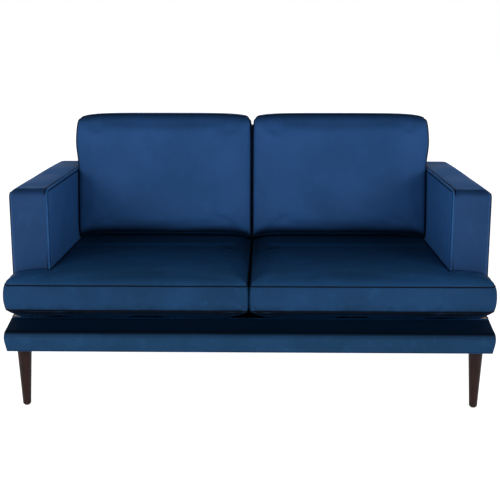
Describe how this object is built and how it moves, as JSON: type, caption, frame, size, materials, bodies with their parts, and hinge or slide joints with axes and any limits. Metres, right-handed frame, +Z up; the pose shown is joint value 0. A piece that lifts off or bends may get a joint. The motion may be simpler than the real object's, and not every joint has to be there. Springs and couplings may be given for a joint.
{
  "type": "two-seat sofa",
  "caption": "Two-seat upholstered sofa with track arms, loose T-shaped seat cushions, loose back cushions and round tapered wooden legs.",
  "frame": {"origin": "on the floor, under the middle of the sofa", "axes": "+X to the right seen from the front, +Y towards the back, +Z up"},
  "size_m": [1.5, 0.86, 0.8773],
  "materials": {
    "velvet": "satin",
    "deck_cloth": "matte",
    "dust_cloth": "matte",
    "webbing": "matte",
    "foam": "matte",
    "fibre_fill": "matte",
    "zip_nylon": "matte",
    "zip_metal": "satin",
    "leg_wood": "satin",
    "glide_plastic": "matte",
    "clip_plastic": "matte",
    "spring_steel": "satin",
    "zinc_steel": "satin",
    "plywood": "matte",
    "frame_timber": "matte"
  },
  "bodies": {
    "frame": {"arm_cover_left": "velvet", "arm_cover_right": "velvet", "arm_foam_left": "foam", "arm_foam_right": "foam", "arm_panels_left": "plywood", "arm_panels_right": "plywood", "arm_posts_left": "frame_timber", "arm_posts_right": "frame_timber", "arm_top_rail_left": "frame_timber", "arm_top_rail_right": "frame_timber", "back_centre_stile": "frame_timber", "back_cover": "velvet", "back_foam": "foam", "back_lower_rail": "frame_timber", "back_post_left": "frame_timber", "back_post_right": "frame_timber", "back_top_rail": "frame_timber", "back_webbing": "webbing", "base_back_rail": "frame_timber", "base_centre_rail": "frame_timber", "base_cover_back": "velvet", "base_cover_front": "velvet", "base_cover_left": "velvet", "base_cover_right": "velvet", "base_front_pad": "foam", "base_front_rail": "frame_timber", "base_side_rail_left": "frame_timber", "base_side_rail_right": "frame_timber", "corner_blocks": "frame_timber", "deck_cover": "deck_cloth", "deck_pad": "foam", "dust_cover": "dust_cloth", "foot_glides": "glide_plastic", "frame_bolts": "zinc_steel", "leg_back_left": "leg_wood", "leg_back_right": "leg_wood", "leg_front_left": "leg_wood", "leg_front_right": "leg_wood", "leg_hanger_bolts": "zinc_steel", "outside_back_cover": "velvet", "seat_springs": "spring_steel", "spring_clips": "clip_plastic", "spring_insulator": "dust_cloth", "tee_nuts": "zinc_steel"},
    "seat_cushion_left": {"seat_cushion_cover_left": "velvet", "seat_cushion_foam_left": "foam", "seat_cushion_zip_left": "zip_nylon"},
    "back_cushion_left": {"back_cushion_cover_left": "velvet", "back_cushion_fill_left": "fibre_fill", "back_cushion_zip_left": "zip_nylon"},
    "seat_zip_slider_left": {"seat_cushion_zip_slider_left": "zip_metal"},
    "back_zip_slider_left": {"back_cushion_zip_slider_left": "zip_metal"},
    "seat_cushion_right": {"seat_cushion_cover_right": "velvet", "seat_cushion_foam_right": "foam", "seat_cushion_zip_right": "zip_nylon"},
    "back_cushion_right": {"back_cushion_cover_right": "velvet", "back_cushion_fill_right": "fibre_fill", "back_cushion_zip_right": "zip_nylon"},
    "seat_zip_slider_right": {"seat_cushion_zip_slider_right": "zip_metal"},
    "back_zip_slider_right": {"back_cushion_zip_slider_right": "zip_metal"}
  },
  "joints": [
    {"name": "seat_cushion_left_pull", "type": "slide", "parent": "frame", "child": "seat_cushion_left", "axis": [0, -1, 0], "range_m": [0, 0.65]},
    {"name": "back_cushion_left_lift", "type": "slide", "parent": "seat_cushion_left", "child": "back_cushion_left", "axis": [0, 0, 1], "range_m": [0, 0.3]},
    {"name": "seat_zip_left_run", "type": "slide", "parent": "seat_cushion_left", "child": "seat_zip_slider_left", "axis": [1, 0, 0], "range_m": [0, 0.484]},
    {"name": "back_zip_left_run", "type": "slide", "parent": "back_cushion_left", "child": "back_zip_slider_left", "axis": [1, 0, 0], "range_m": [0, 0.484]},
    {"name": "seat_cushion_right_pull", "type": "slide", "parent": "frame", "child": "seat_cushion_right", "axis": [0, -1, 0], "range_m": [0, 0.65]},
    {"name": "back_cushion_right_lift", "type": "slide", "parent": "seat_cushion_right", "child": "back_cushion_right", "axis": [0, 0, 1], "range_m": [0, 0.3]},
    {"name": "seat_zip_right_run", "type": "slide", "parent": "seat_cushion_right", "child": "seat_zip_slider_right", "axis": [-1, 0, 0], "range_m": [0, 0.484]},
    {"name": "back_zip_right_run", "type": "slide", "parent": "back_cushion_right", "child": "back_zip_slider_right", "axis": [-1, 0, 0], "range_m": [0, 0.484]}
  ]
}
